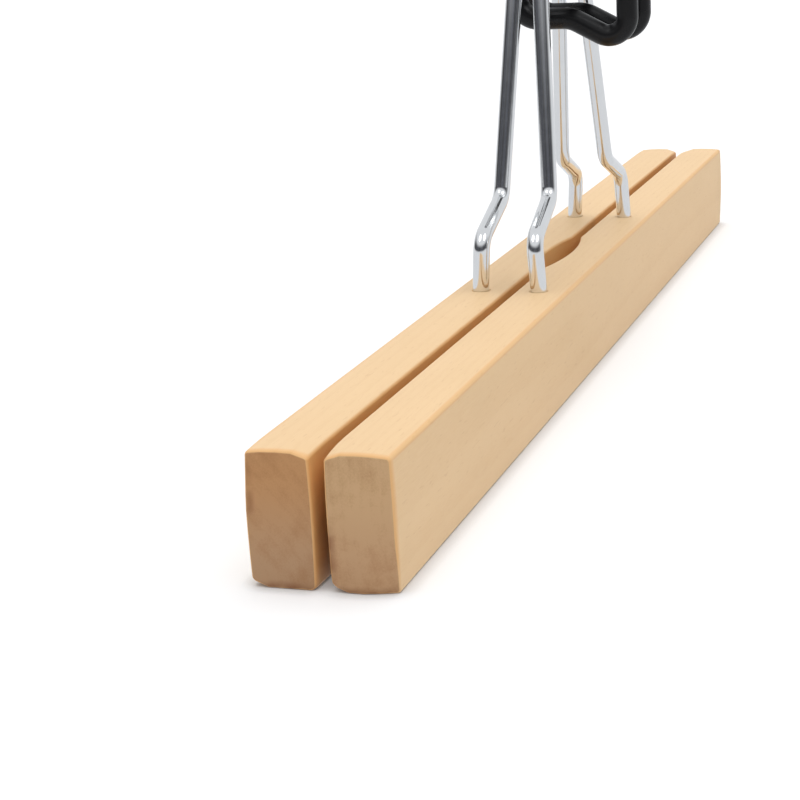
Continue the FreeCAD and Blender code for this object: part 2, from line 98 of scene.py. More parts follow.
# The hinge strap and the hook.
STRAP_SHEET = 0.0008
SEAT_BEND = 0.00163
STRAP_TOP_BEND = 0.0008
HOOK_RADIUS = 0.0017
HOOK_HOLE_PLAY = 0.00005
HEAD_RADIUS = 0.0029
HEAD_HEIGHT = 0.0018
COLLAR_RADIUS = 0.0031
COLLAR_HEIGHT = 0.0016
COLLAR_PLAY = 0.0001
SHANK_RISE = 0.008
NECK_BEND = 0.01
CROOK_BEND = 0.02
CROOK_TIP_ANGLE = math.radians(205)
TIP_ROUNDING = 0.0015
METAL_EASING = 0.00012
# The riveted head's dome, from its flat middle up: shares of its height and of its radius.
HEAD_FLAT = 0.45
HEAD_DOME = [(0.15, 0.8), (0.4, 0.97), (0.6, 1)]

# The lock slide.
COAT_RADIUS = 0.00215
RING_HEIGHT = 0.079
RING_BEND = 0.005
ARM_X = 0.0064
ARM_HEIGHT = 0.0696
RISER_INSET = 0.00245
RISER_BEND = 0.004
ARM_BEND = 0.00435
DIP_START = 0.0057
DIP_BEND = 0.0069
TAB_FLOOR = 0.0635
TAB_BEND = 0.0037
TAB_SPRING = 0.0741

# How finely the pieces are divided.
WIRE_FACETS = 40
BEND_STEP = math.radians(3)
SMOOTH_ANGLE = math.radians(40)
SAME_PLACE = 1e-6
CORNER_FACETS = 6
END_FACETS = 5
STRAP_BEND_FACETS = 10
RIM_FACETS = 2
TIP_STEPS = 6
# A bar's slices: distances from its ends, then parts of half a hollow, of half the bar's length (from
# the first one past the hollow), of half its end's width and of its height.
END_SLICES = (0.0016, 0.0026, 0.004, 0.006, 0.009)
SCOOP_SLICES = 12
LENGTH_SLICES = 10
PAST_SCOOP = 2
END_COLUMNS = 4
END_ROWS = 9
# How much of a face's normal lies along an axis when the face looks that way, roughly or squarely.
ROUGHLY = 0.9
SQUARELY = 0.999
X, Y, Z = range(3)

# The wood's colours.
PALE_WOOD = (0.925, 0.66, 0.385, 1)
MOTTLED_WOOD = (0.865, 0.61, 0.345, 1)
LATE_WOOD = (0.78, 0.5, 0.25, 1)
FLECK_WOOD = (0.66, 0.39, 0.17, 1)
# Painted shade for the faces at the gap: darker low down, lighter high up and lighter again in the hollow.
GAP_SHADE_LOW_WOOD = (0.54, 0.25, 0.065, 1)
GAP_SHADE_HIGH_WOOD = (0.75, 0.38, 0.11, 1)
HOLLOW_SHADE_WOOD = (0.88, 0.54, 0.21, 1)
END_PORE_WOOD = (0.4, 0.19, 0.075, 1)
TOASTED_WOOD = (0.85, 0.48, 0.19, 1)
SCORCHED_WOOD = (0.26, 0.09, 0.035, 1)
RING_SPACING = 0.0017
RING_WANDER = 0.006

# The set: what the camera sees, what metal and gloss mirror, and what lights the rest.
WHITE = (1, 1, 1, 1)
MIRRORED_WHITE = (0.8, 0.815, 0.835, 1)
SKY_LEVEL = 0.5
FLOOR_SIZE = 6
FLOOR_PLAIN = 0.83
FLOOR_SHADED = 0.62
FLOOR_GLOW = (0.415, 0.42, 0.43, 1)
CONTACT_REACH = 0.003
CONTACT_POWER = 1.5
FLAG_RADIUS = 0.9
FLAG_BASE = 0.02
FLAG_TOP = 0.55
FLAG_FACETS = 64
FLAG_WAY = Vector((-1, 0.14)).normalized()
FLAG_OPENING = -0.6
FLAG_DARK = (0.05, 0.049, 0.047, 1)
FLAG_FOLD = (0.11, 0.115, 0.135, 1)
TOP_LIGHT = {"direction": (0.1, -0.1, 1), "level": 0.58, "spread": 70}
SPARKS = {"left_spark": (-0.5, 0.35, 0.8), "right_spark": (-0.35, -0.5, 0.75)}
SPARK_LEVEL = 0.14
SPARK_SPREAD = 26

bar_low, bar_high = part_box("front_bar")
BAR_HALF_LENGTH = bar_high.x
BAR_HEIGHT = bar_high.z
BAR_OUTER_Y = -bar_low.y
BAR_THICKNESS = bar_high.y - bar_low.y
LEAN = math.atan((LEG_Y - HINGE_Y) / (HINGE_HEIGHT - BAR_HEIGHT))

# Each bar's side, its pith, its end faces' colours, how strongly rings show there, and its scorched rim.
BAR_LOOKS = {
    "rear_bar": {
        "side": 1,
        "pith_y": 0.045,
        "pith_z": -0.02,
        "end_high": (0.575, 0.305, 0.135, 1),
        "end_low": (0.53, 0.325, 0.185, 1),
        "end_lines": 0.1,
        "scorch_y": BAR_OUTER_Y,
        "scorch_low": 0.0125,
        "scorch_high": 0.0175,
    },
    "front_bar": {
        "side": -1,
        "pith_y": -0.07,
        "pith_z": 0.015,
        "end_high": (0.665, 0.43, 0.23, 1),
        "end_low": (0.6, 0.37, 0.205, 1),
        "end_lines": 0.08,
        "scorch_y": BAR_THICKNESS - BAR_OUTER_Y,
        "scorch_low": 0,
        "scorch_high": 0.009,
    },
}


def smooth_share(value, low, high):
    """Rise smoothly from 0 at one value to 1 at another."""
    share = min(max((value - low) / (high - low), 0), 1)
    return share * share * (3 - 2 * share)


def settle(name):
    """Name the newest object and put its place into its mesh."""
    piece = bpy.context.object
    piece.name = name
    bpy.ops.object.transform_apply(location=True, rotation=True, scale=True)
    return piece


def start_block(name, middle, half):
    """A plain block about a middle."""
    bpy.ops.object.select_all(action="DESELECT")
    bpy.ops.mesh.primitive_cube_add(size=2, location=middle, scale=half)
    return settle(name)


def pick_edges(piece, wanted):
    """Select, in edit mode, the edges whose two ends a test picks."""
    bpy.ops.object.mode_set(mode="EDIT")
    bpy.ops.mesh.select_mode(type="EDGE")
    bpy.ops.mesh.select_all(action="DESELECT")
    bpy.ops.object.mode_set(mode="OBJECT")
    points = piece.data.vertices
    for edge in piece.data.edges:
        edge.select = all(wanted(points[index].co) for index in edge.vertices)
    bpy.ops.object.mode_set(mode="EDIT")


def pick_faces(piece, wanted):
    """Select, in edit mode, the faces that a test on their middle and normal picks."""
    bpy.ops.object.mode_set(mode="EDIT")
    bpy.ops.mesh.select_mode(type="FACE")
    bpy.ops.mesh.select_all(action="DESELECT")
    bpy.ops.object.mode_set(mode="OBJECT")
    for face in piece.data.polygons:
        face.select = wanted(face.center, face.normal)
    bpy.ops.object.mode_set(mode="EDIT")


def slice_chosen(axis, place):
    """Cut a line across what is selected in edit mode at a place along an axis."""
    normal = Vector((0, 0, 0))
    normal[axis] = 1
    bpy.ops.mesh.bisect(plane_co=normal * place, plane_no=normal, threshold=SAME_PLACE)


def slice_across(axis, places):
    """Cut a loop across everything in edit mode at each place along an axis."""
    for place in places:
        bpy.ops.mesh.select_all(action="SELECT")
        slice_chosen(axis, place)


def round_chosen(offset, facets):
    """Round the edges that are selected in edit mode."""
    bpy.ops.mesh.bevel(offset=offset, segments=facets, affect="EDGES", clamp_overlap=False)


def apply_modifier(piece, kind, **settings):
    """Add a modifier, set it up and apply it."""
    bpy.context.view_layer.objects.active = piece
    modifier = piece.modifiers.new(kind.lower(), kind)
    for name, value in settings.items():
        setattr(modifier, name, value)
    bpy.ops.object.modifier_apply(modifier=modifier.name)


def ease_rims(piece):
    """Break the sharp edges of a sheet metal piece."""
    apply_modifier(
        piece,
        "BEVEL",
        width=METAL_EASING,
        segments=RIM_FACETS,
        limit_method="ANGLE",
        angle_limit=SMOOTH_ANGLE,
    )


def cut_away(piece, cutter):
    """Cut one mesh out of another and throw the cutter away."""
    apply_modifier(piece, "BOOLEAN", object=cutter, operation="DIFFERENCE", solver="EXACT")
    bpy.data.objects.remove(cutter)


def finish_piece(piece, body, node, material):
    """Merge, turn faces outwards, smooth, and put the piece in its node's place."""
    bpy.ops.object.select_all(action="DESELECT")
    piece.select_set(True)
    bpy.context.view_layer.objects.active = piece
    bpy.ops.object.mode_set(mode="EDIT")
    bpy.ops.mesh.select_all(action="SELECT")
    bpy.ops.mesh.remove_doubles(threshold=SAME_PLACE)
    bpy.ops.mesh.normals_make_consistent(inside=False)
    bpy.ops.object.mode_set(mode="OBJECT")
    bpy.ops.object.shade_smooth_by_angle(angle=SMOOTH_ANGLE)
    apply_modifier(piece, "WEIGHTED_NORMAL", keep_sharp=True)
    piece.data.materials.clear()
    piece.data.materials.append(material)
    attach(piece, body)
    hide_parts(node)


def start_ring(name, radius, place, direction):
    """A ring across a wire's line, in edit mode, ready to be drawn on."""
    bpy.ops.object.select_all(action="DESELECT")
    turn = direction.to_track_quat("Z", "Y").to_euler()
    bpy.ops.mesh.primitive_circle_add(vertices=WIRE_FACETS, radius=radius, location=place, rotation=turn)
    piece = settle(name)
    bpy.ops.object.mode_set(mode="EDIT")
    bpy.ops.mesh.select_mode(type="EDGE")
    bpy.ops.mesh.select_all(action="SELECT")
    return piece


def draw_on(move):
    """Pull the open ring straight on."""
    bpy.ops.mesh.extrude_edges_move(TRANSFORM_OT_translate={"value": move})


def bend_on(centre, axis, angle):
    """Carry the open ring round a bend. The operator turns against the right-hand rule."""
    steps = max(round(angle / BEND_STEP), 2)
    bpy.ops.mesh.spin(steps=steps, angle=angle, center=centre, axis=-axis)


def swell(centre, factor):
    """Make the open ring larger or smaller about a point."""
    bpy.ops.transform.resize(value=(factor, factor, factor), center_override=centre)


def cap_ring():
    """Close the open ring with a face and leave edit mode."""
    bpy.ops.mesh.edge_face_add()
    bpy.ops.object.mode_set(mode="OBJECT")


def follow(corners, bends):
    """Draw the open ring along straight runs with a bend at each corner between them."""
    here = corners[0]
    for before, corner, after, bend in zip(corners, corners[1:], corners[2:], bends):
        back = (before - corner).normalized()
        onward = (after - corner).normalized()
        half_angle = back.angle(onward) / 2
        reach = bend / math.tan(half_angle)
        draw_on(corner + back * reach - here)
        centre = corner + (back + onward).normalized() * bend / math.sin(half_angle)
        bend_on(centre, onward.cross(back), math.pi - 2 * half_angle)
        here = corner + onward * reach
    if (corners[-1] - here).length > SAME_PLACE:
        draw_on(corners[-1] - here)


def lean_jaw(piece, side, place):
    """Turn a piece that was made upright to its jaw's lean, and put it in its place."""
    piece.rotation_euler.x = side * LEAN
    piece.location = place
    bpy.ops.object.transform_apply(location=True, rotation=True, scale=True)


def leg_drill(side, x):
    """A cutter for a leg hole with a slightly broken rim."""
    radius = WIRE_RADIUS + LEG_FIT
    rim_swell = (radius + RIM_CHAMFER) / radius
    cutter = start_ring("leg_drill", radius, Vector((0, 0, -LEG_DEPTH)), Vector((0, 0, 1)))
    bpy.ops.mesh.edge_face_add()
    bpy.ops.mesh.extrude_region_move(TRANSFORM_OT_translate={"value": (0, 0, LEG_DEPTH - RIM_CHAMFER)})
    for rise in (RIM_CHAMFER, 2 * RIM_CHAMFER):
        bpy.ops.mesh.extrude_region_move(TRANSFORM_OT_translate={"value": (0, 0, rise)})
        swell(Vector((0, 0, 0)), rim_swell)
    bpy.ops.mesh.select_all(action="SELECT")
    bpy.ops.mesh.normals_make_consistent(inside=False)
    bpy.ops.object.mode_set(mode="OBJECT")
    lean_jaw(cutter, side, (x, side * LEG_Y, BAR_HEIGHT))
    return cutter


def crown_faces(bar, middle, half):
    """Bulge the bar's two sides and its top."""
    for point in bar.data.vertices:
        place = point.co
        spread = (place.y - middle.y) / half.y
        lift = (place.z - middle.z) / half.z
        if place.z > BAR_HEIGHT - SAME_PLACE:
            place.z -= TOP_CROWN * spread ** 2
        place.y -= spread * SIDE_CROWN * lift ** 2


def round_long_corners(bar, middle, half, gap_way):
    """Round each of the four long corners by its own radius."""
    for inner, upper, radius in BAR_CORNERS:
        way = gap_way if inner else -gap_way
        level = BAR_HEIGHT - TOP_CROWN if upper else 0
        corner = Vector((0, middle.y + way * (half.y - SIDE_CROWN), level))
        pick_edges(bar, lambda place: (place - corner).yz.length < SAME_PLACE)
        round_chosen(radius, CORNER_FACETS)


def push_share(from_gap):
    """1 at the inner face, fading to 0 inside the bar."""
    return 1 - smooth_share(from_gap, PUSH_FULL, PUSH_END)


def press_hollow(bar, inner_y, gap_way):
    """Press the finger hollow, part of a cylinder, into the inner face."""
    scoop_bend = (SCOOP_HALF ** 2 + SCOOP_DEPTH ** 2) / (2 * SCOOP_DEPTH)
    for point in bar.data.vertices:
        place = point.co
        if abs(place.x) < SCOOP_HALF:
            from_gap = (inner_y - place.y) * gap_way
            depth = SCOOP_DEPTH - scoop_bend + math.sqrt(scoop_bend ** 2 - place.x ** 2)
            place.y -= gap_way * depth * push_share(from_gap)


def sand_ends(bar, inner_y, gap_way):
    """Sand the ends by hand: both bars at the gap, the front one low down, the rear one on its outside."""
    front = gap_way > 0
    for point in bar.data.vertices:
        place = point.co
        from_end = BAR_HALF_LENGTH - abs(place.x)
        if from_end >= SANDED_REACH:
            continue
        from_gap = (inner_y - place.y) * gap_way
        nearness = 1 - from_end / SANDED_REACH
        wear = nearness ** 2
        at_inside = 1 - smooth_share(from_gap, 0, SANDED_WIDTH)
        shoulder = smooth_share(place.z, BAR_HEIGHT - SANDED_WIDTH, BAR_HEIGHT) * at_inside
        place.y -= gap_way * SANDED_LEAD_IN * wear * push_share(from_gap)
        place.z -= wear * SANDED_DROP * shoulder
        near_foot = 1 - smooth_share(place.z, 0, SANDED_WIDTH)
        if front:
            place.z += wear * SANDED_HEEL * near_foot * at_inside
            low_half = 1 - smooth_share(place.z, 0, BAR_HEIGHT / 2)
            outer_half = smooth_share(from_gap, BAR_THICKNESS / 2, BAR_THICKNESS)
            place.x -= math.copysign(SANDED_FACE * nearness * low_half * outer_half, place.x)
        else:
            at_outside = smooth_share(from_gap, BAR_THICKNESS - SANDED_WIDTH, BAR_THICKNESS)
            place.z += wear * SANDED_HEEL * near_foot * at_outside
            high_half = smooth_share(place.z, BAR_HEIGHT / 2, BAR_HEIGHT)
            place.y += gap_way * SANDED_CHEEK * wear * high_half * at_outside


def make_bar(node, side, material):
    """A jaw bar: crowned faces, rounded corners, sanded ends, a finger hollow and two leg holes."""
    low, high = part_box(node)
    middle = (low + high) / 2
    half = (high - low) / 2
    gap_way = -side
    inner_y = middle.y + gap_way * half.y
    bar = start_block(f"{node}_wood", middle, half)
    bpy.ops.object.mode_set(mode="EDIT")
    near_end = [way * (half.x - back) for way in (-1, 1) for back in END_SLICES]
    in_scoop = [SCOOP_HALF * step / SCOOP_SLICES for step in range(-SCOOP_SLICES, SCOOP_SLICES + 1)]
    steps_out = range(PAST_SCOOP, LENGTH_SLICES)
    between = [way * half.x * step / LENGTH_SLICES for way in (-1, 1) for step in steps_out]
    slice_across(X, near_end + in_scoop + between)
    slice_across(Y, [middle.y + half.y * step / 2 for step in (-1, 0, 1)])
    end_columns = [middle.y + half.y * step / END_COLUMNS for step in range(1 - END_COLUMNS, END_COLUMNS)]
    end_rows = [high.z * step / END_ROWS for step in range(1, END_ROWS)]
    slice_across(Z, end_rows)
    pick_faces(bar, lambda centre, normal: abs(normal.x) > ROUGHLY)
    bpy.ops.mesh.dissolve_faces()
    bpy.ops.object.mode_set(mode="OBJECT")
    crown_faces(bar, middle, half)
    round_long_corners(bar, middle, half, gap_way)
    pick_edges(bar, lambda place: abs(place.x) > half.x - SAME_PLACE)
    round_chosen(END_EASING, END_FACETS)
    for axis, places in ((Y, end_columns), (Z, end_rows)):
        for place in places:
            pick_faces(bar, lambda centre, normal: abs(normal.x) > SQUARELY)
            slice_chosen(axis, place)
    bpy.ops.object.mode_set(mode="OBJECT")
    press_hollow(bar, inner_y, gap_way)
    sand_ends(bar, inner_y, gap_way)
    for x in (-JOG_LOW[0], JOG_LOW[0]):
        cut_away(bar, leg_drill(side, x))
    finish_piece(bar, JAWS[side], node, material)


def make_frame(node, side, material):
    """A bent wire frame: cross run, shoulders, uprights, jogs and legs."""
    slant = math.cos(LEAN)
    bar_top = (BAR_HEIGHT - HINGE_HEIGHT) / slant
    corners = [
        Vector((0, 0, 0)),
        Vector((HINGE_HALF_WIDTH, 0, 0)),
        Vector((JOG_HIGH[0], 0, (JOG_HIGH[1] - HINGE_HEIGHT) / slant)),
        Vector((JOG_LOW[0], 0, (JOG_LOW[1] - HINGE_HEIGHT) / slant)),
        Vector((JOG_LOW[0], 0, bar_top - LEG_DEPTH)),
    ]
    wire = start_ring(f"{node}_wire", WIRE_RADIUS, corners[0], Vector((1, 0, 0)))
    follow(corners, [SHOULDER_BEND, JOG_BEND, JOG_BEND])
    cap_ring()
    apply_modifier(wire, "MIRROR", merge_threshold=SAME_PLACE)
    lean_jaw(wire, side, (0, side * HINGE_Y, HINGE_HEIGHT))
    finish_piece(wire, JAWS[side], node, material)


def make_hinge_strap(material):
    """A bent strap round both cross runs, with a hole for the hook on top."""
    low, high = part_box("hinge_strap")
    middle = (low + high) / 2
    half = (high - low) / 2 - Vector((0, STRAP_SHEET / 2, STRAP_SHEET / 2))
    strap = start_block("hinge_strap_sheet", middle, half)
    pick_faces(strap, lambda centre, normal: abs(normal.x) > ROUGHLY)
    bpy.ops.mesh.delete(type="FACE")
    for level, bend in ((middle.z - half.z, SEAT_BEND), (middle.z + half.z, STRAP_TOP_BEND)):
        pick_edges(
            strap,
            lambda place: abs(place.z - level) < SAME_PLACE and abs(place.y) > half.y - SAME_PLACE,
        )
        round_chosen(bend + STRAP_SHEET / 2, STRAP_BEND_FACETS)
    bpy.ops.object.mode_set(mode="OBJECT")
    apply_modifier(strap, "SOLIDIFY", thickness=STRAP_SHEET, offset=0, use_even_offset=True)
    bpy.ops.mesh.primitive_cylinder_add(
        vertices=WIRE_FACETS,
        radius=HOOK_RADIUS + HOOK_HOLE_PLAY,
        depth=4 * STRAP_SHEET,
        location=(0, 0, high.z),
    )
    cut_away(strap, settle("shank_drill"))
    ease_rims(strap)
    finish_piece(strap, "head", "hinge_strap", material)


def make_hook_washer(material):
    """A plain washer with eased rims."""
    low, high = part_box("hook_washer")
    hole = HOOK_RADIUS + HOOK_HOLE_PLAY
    bpy.ops.object.select_all(action="DESELECT")
    bpy.ops.mesh.primitive_cylinder_add(
        vertices=2 * WIRE_FACETS,
        radius=high.x,
        depth=high.z - low.z,
        location=(0, 0, (low.z + high.z) / 2),
    )
    washer = settle("hook_washer_disc")
    pick_faces(washer, lambda centre, normal: abs(normal.z) > ROUGHLY)
    bpy.ops.mesh.inset(thickness=high.x - hole)
    bpy.ops.mesh.delete(type="FACE")
    pick_edges(washer, lambda place: place.xy.length < hole + METAL_EASING)
    bpy.ops.mesh.bridge_edge_loops()
    bpy.ops.object.mode_set(mode="OBJECT")
    ease_rims(washer)
    finish_piece(washer, "head", "hook_washer", material)


def make_hook(material):
    """The swivel hook: a riveted head, the shank with its pressed collar, and the crook."""
    head_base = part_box("hook")[0].z
    head_top = head_base + HEAD_HEIGHT
    collar_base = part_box("hook_washer")[1].z + COLLAR_PLAY
    collar_top = collar_base + COLLAR_HEIGHT
    ease = 2 * METAL_EASING
    dome = [(head_base + rise * HEAD_HEIGHT, share * HEAD_RADIUS) for rise, share in HEAD_DOME]
    turned = dome + [
        (head_top - ease, HEAD_RADIUS),
        (head_top, HEAD_RADIUS - ease),
        (head_top, HOOK_RADIUS),
        (collar_base, HOOK_RADIUS),
        (collar_base, COLLAR_RADIUS - ease),
        (collar_base + ease, COLLAR_RADIUS),
        (collar_top - ease, COLLAR_RADIUS),
        (collar_top, COLLAR_RADIUS - ease),
        (collar_top, HOOK_RADIUS),
        (collar_top + SHANK_RISE, HOOK_RADIUS),
    ]
    height, radius = head_base, HEAD_FLAT * HEAD_RADIUS
    hook = start_ring("hook_wire", radius, Vector((0, 0, height)), Vector((0, 0, 1)))
    for next_height, next_radius in turned:
        draw_on(Vector((0, 0, next_height - height)))
        swell(Vector((0, 0, next_height)), next_radius / radius)
        height, radius = next_height, next_radius
    neck_turn = math.acos(NECK_BEND / (NECK_BEND + CROOK_BEND))
    crook_centre = Vector((0, 0, height + (NECK_BEND + CROOK_BEND) * math.sin(neck_turn)))
    bend_on(Vector((NECK_BEND, 0, height)), Vector((0, 1, 0)), neck_turn)
    tip_start = CROOK_TIP_ANGLE - TIP_ROUNDING / CROOK_BEND
    bend_on(crook_centre, Vector((0, -1, 0)), neck_turn + tip_start)
    outward = Vector((math.cos(tip_start), 0, math.sin(tip_start)))
    onward = Vector((-math.sin(tip_start), 0, math.cos(tip_start)))
    tip = crook_centre + outward * CROOK_BEND
    reach = 0
    for step in range(1, TIP_STEPS + 1):
        angle = math.pi / 2 * step / TIP_STEPS
        next_reach = TIP_ROUNDING * math.sin(angle)
        next_radius = HOOK_RADIUS - TIP_ROUNDING * (1 - math.cos(angle))
        draw_on(onward * (next_reach - reach))
        swell(tip + onward * next_reach, next_radius / radius)
        reach, radius = next_reach, next_radius
    cap_ring()
    pick_edges(hook, lambda place: place.z < head_base + SAME_PLACE)
    cap_ring()
    finish_piece(hook, "swivel_hook", "hook", material)


def make_lock_slide_coating(material):
    """The dipped coat: a closed loop that rings the frames and comes forward to a thumb tab."""
    low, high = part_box("lock_slide_coating")
    ring_x = high.x - COAT_RADIUS
    ring_y = high.y - COAT_RADIUS
    tab_y = low.y + COAT_RADIUS
    crown = TAB_SPRING + ARM_X
    corners = [
        Vector((0, -ring_y, RING_HEIGHT)),
        Vector((ring_x, -ring_y, RING_HEIGHT)),
        Vector((ring_x, ring_y, RING_HEIGHT)),
        Vector((ARM_X, ring_y, RING_HEIGHT)),
        Vector((ARM_X, ring_y - RISER_INSET, ARM_HEIGHT)),
        Vector((ARM_X, -DIP_START, ARM_HEIGHT)),
        Vector((ARM_X, tab_y, TAB_FLOOR)),
        Vector((ARM_X, tab_y, crown)),
        Vector((0, tab_y, crown)),
    ]
    bends = [RING_BEND, RING_BEND, RISER_BEND, ARM_BEND, DIP_BEND, TAB_BEND, ARM_X]
    coat = start_ring("lock_slide_coat", COAT_RADIUS, corners[0], Vector((1, 0, 0)))
    follow(corners, bends)
    bpy.ops.object.mode_set(mode="OBJECT")
    apply_modifier(coat, "MIRROR", merge_threshold=SAME_PLACE)
    finish_piece(coat, "lock_slide", "lock_slide_coating", material)


class Wire:
    """A shader socket that sums, products and powers can be written with."""

    def __init__(self, finish, socket):
        self.finish = finish
        self.socket = socket

    def __add__(self, other):
        return self.finish.math("ADD", self, other)

    def __radd__(self, other):
        return self.finish.math("ADD", other, self)

    def __sub__(self, other):
        return self.finish.math("SUBTRACT", self, other)

    def __rsub__(self, other):
        return self.finish.math("SUBTRACT", other, self)

    def __mul__(self, other):
        return self.finish.math("MULTIPLY", self, other)

    def __truediv__(self, other):
        return self.finish.math("DIVIDE", self, other)

    def __pow__(self, other):
        return self.finish.math("POWER", self, other)


class Finish:
    """A node tree that is built from expressions."""

    def __init__(self, tree):
        self.nodes = tree.nodes
        self.links = tree.links
        self.nodes.clear()

    def add(self, kind, settings=None, inputs=None, output=0):
        """Add a node, set it up, feed its sockets and give one of its outputs."""
        node = self.nodes.new(kind)
        for name, value in (settings or {}).items():
            setattr(node, name, value)
        for name, value in (inputs or {}).items():
            socket = node.inputs[name]
            if isinstance(value, Wire):
                self.links.new(value.socket, socket)
            else:
                socket.default_value = value
        return Wire(self, node.outputs[output]) if node.outputs else None

    def math(self, operation, *values):
        return self.add("ShaderNodeMath", {"operation": operation}, dict(enumerate(values)))

    def blend(self, factor, first, second):
        """Mix two colours."""
        return self.add(
            "ShaderNodeMix",
            {"data_type": "RGBA"},
            {"Factor": factor, 6: first, 7: second},
            output=2,
        )

    def ease(self, value, low, high):
        """Rise smoothly from 0 at one value to 1 at another."""
        return self.add(
            "ShaderNodeMapRange",
            {"interpolation_type": "SMOOTHSTEP"},
            {"Value": value, "From Min": low, "From Max": high},
        )

    def axes(self, vector):
        """The three values of a vector."""
        split = self.add("ShaderNodeSeparateXYZ", None, {"Vector": vector})
        return [Wire(self, output) for output in split.socket.node.outputs]

    def stretch(self, vector, scale):
        return self.add("ShaderNodeMapping", None, {"Vector": vector, "Scale": scale})

    def along_bar(self, vector, share):
        """Draw a pattern out along X, to a share of its fineness."""
        return self.stretch(vector, (share, 1, 1))

    def noise(self, vector, scale, detail=2.0, roughness=0.5):
        return self.add(
            "ShaderNodeTexNoise",
            None,
            {"Vector": vector, "Scale": scale, "Detail": detail, "Roughness": roughness},
        )

    def bump(self, height, strength, depth):
        return self.add(
            "ShaderNodeBump",
            None,
            {"Height": height, "Strength": strength, "Distance": depth},
        )

    def surface(self, shader):
        self.add("ShaderNodeOutputMaterial", None, {"Surface": shader})

    def principled(self, inputs):
        """Make the surface a principled one with these inputs."""
        self.surface(self.add("ShaderNodeBsdfPrincipled", None, inputs))


def new_finish(name):
    """A new material and its empty node tree."""
    material = bpy.data.materials.new(name)
    material.use_nodes = True
    return material, Finish(material.node_tree)


def growth_rings(wood, place, look):
    """1 in the dark late wood of each growth ring about the pith."""
    x, y, z = wood.axes(place)
    wander = wood.noise(wood.along_bar(place, 0.06), scale=55)
    from_pith = wood.math("SQRT", (y - look["pith_y"]) ** 2 + (z - look["pith_z"]) ** 2)
    ring = wood.math("FRACT", (from_pith + wander * RING_WANDER) / RING_SPACING)
    return wood.ease(ring, 0.3, 0.86) - wood.ease(ring, 0.88, 1.0)


def side_wood(wood, place, late, fibre):
    """The long faces: pale and mottled, with late wood, fibre and flecks."""
    fleck = wood.ease(wood.noise(wood.along_bar(place, 0.16), scale=2300, detail=1), 0.64, 0.76)
    mottle = wood.noise(wood.along_bar(place, 0.35), scale=130, detail=3)
    pale = wood.blend(mottle, PALE_WOOD, MOTTLED_WOOD)
    grained = wood.blend(late * 0.14 + (fibre - 0.5) * 0.55, pale, LATE_WOOD)
    return wood.blend(fleck * 0.25, grained, FLECK_WOOD)


def gap_shade_wood(wood, from_middle, z):
    """The faces at the gap: orange-brown painted shade of the narrow gap, darker towards the table and
    lighter in the open hollow.
    """
    inner = wood.blend(wood.ease(z, 0.006, BAR_HEIGHT), GAP_SHADE_LOW_WOOD, GAP_SHADE_HIGH_WOOD)
    hollow = 1 - wood.ease(from_middle, 0.004, SCOOP_HALF)
    return wood.blend(hollow * 0.7, inner, HOLLOW_SHADE_WOOD)


def end_wood(wood, place, z, late, pores, look):
    """The end faces: rings, pores, patches and clouds on a tint that changes with the height."""
    cloud = wood.noise(place, scale=95)
    patch = wood.noise(place, scale=430)
    tint = wood.blend(wood.ease(z, 0.003, 0.018), look["end_low"], look["end_high"])
    shade = late * look["end_lines"] + (pores - 0.5) * 0.8 + (patch - 0.5) * 0.8 + (cloud - 0.45) * 1.3
    return wood.blend(shade, tint, END_PORE_WOOD)


def scorched_rim(wood, place, toasted, look):
    """How burnt an end's rim is: beside one upright edge between two heights, and along the foot."""
    x, y, z = wood.axes(place)
    beside = 1 - wood.ease(wood.math("ABSOLUTE", y - look["scorch_y"]), 0.0006, 0.0019)
    above = wood.ease(z, look["scorch_low"] - 0.002, look["scorch_low"])
    below = 1 - wood.ease(z, look["scorch_high"], look["scorch_high"] + 0.003)
    along_foot = 1 - wood.ease(z, 0.0004, 0.0015)
    rim = wood.math("MAXIMUM", beside * (above * below), along_foot) * toasted
    return wood.ease(wood.noise(place, scale=210), 0.3, 0.6) * rim * 0.65


def bar_wood(node, look):
    """Pale close-grained wood with painted gap shade on the inner faces, darker end grain and toasted
    rims.
    """
    material, wood = new_finish(f"{node}_wood")
    place = wood.add("ShaderNodeTexCoord", output="Object")
    x, y, z = wood.axes(place)
    along, outward = wood.axes(wood.add("ShaderNodeTexCoord", output="Normal"))[:2]
    from_middle = wood.math("ABSOLUTE", x)
    late = growth_rings(wood, place, look)
    fibre = wood.noise(wood.along_bar(place, 0.07), scale=4200, detail=3, roughness=0.6)
    pores = wood.noise(place, scale=3200, detail=3, roughness=0.7)
    faces_gap = wood.ease(outward * -look["side"], 0.35, 0.95)
    plain = side_wood(wood, place, late, fibre)
    # Painted shade of the gap on the faces that look into it.
    sides = wood.blend(faces_gap * 0.75, plain, gap_shade_wood(wood, from_middle, z))
    from_edge_y = BAR_OUTER_Y - 0.0003 - wood.math("ABSOLUTE", y)
    from_edge_z = BAR_HEIGHT - 0.0004 - z
    top_edge = 1 - wood.ease(from_edge_y ** 2 + from_edge_z ** 2, 1e-7, 6e-7)
    toasted = wood.ease(from_middle, BAR_HALF_LENGTH - 0.0019, BAR_HALF_LENGTH - 0.0004)
    edge = wood.math("MAXIMUM", toasted * 0.75, top_edge * 0.5)
    edged = wood.blend(edge, sides, TOASTED_WOOD)
    end_grain = wood.ease(wood.math("ABSOLUTE", along), 0.8, 0.96)
    unburnt = wood.blend(end_grain, edged, end_wood(wood, place, z, late, pores, look))
    burn = scorched_rim(wood, place, toasted, look)
    height = fibre * 0.6 + late * 0.2 + pores * end_grain
    wood.principled({
        "Base Color": wood.blend(burn, unburnt, SCORCHED_WOOD),
        "Roughness": 0.45 + fibre * 0.16 + end_grain * 0.12,
        "Specular IOR Level": 0.22,
        "Coat Weight": 0.06 - end_grain * 0.05,
        "Coat Roughness": 0.3,
        "Normal": wood.bump(height, strength=0.25, depth=0.00006),
    })
    return material


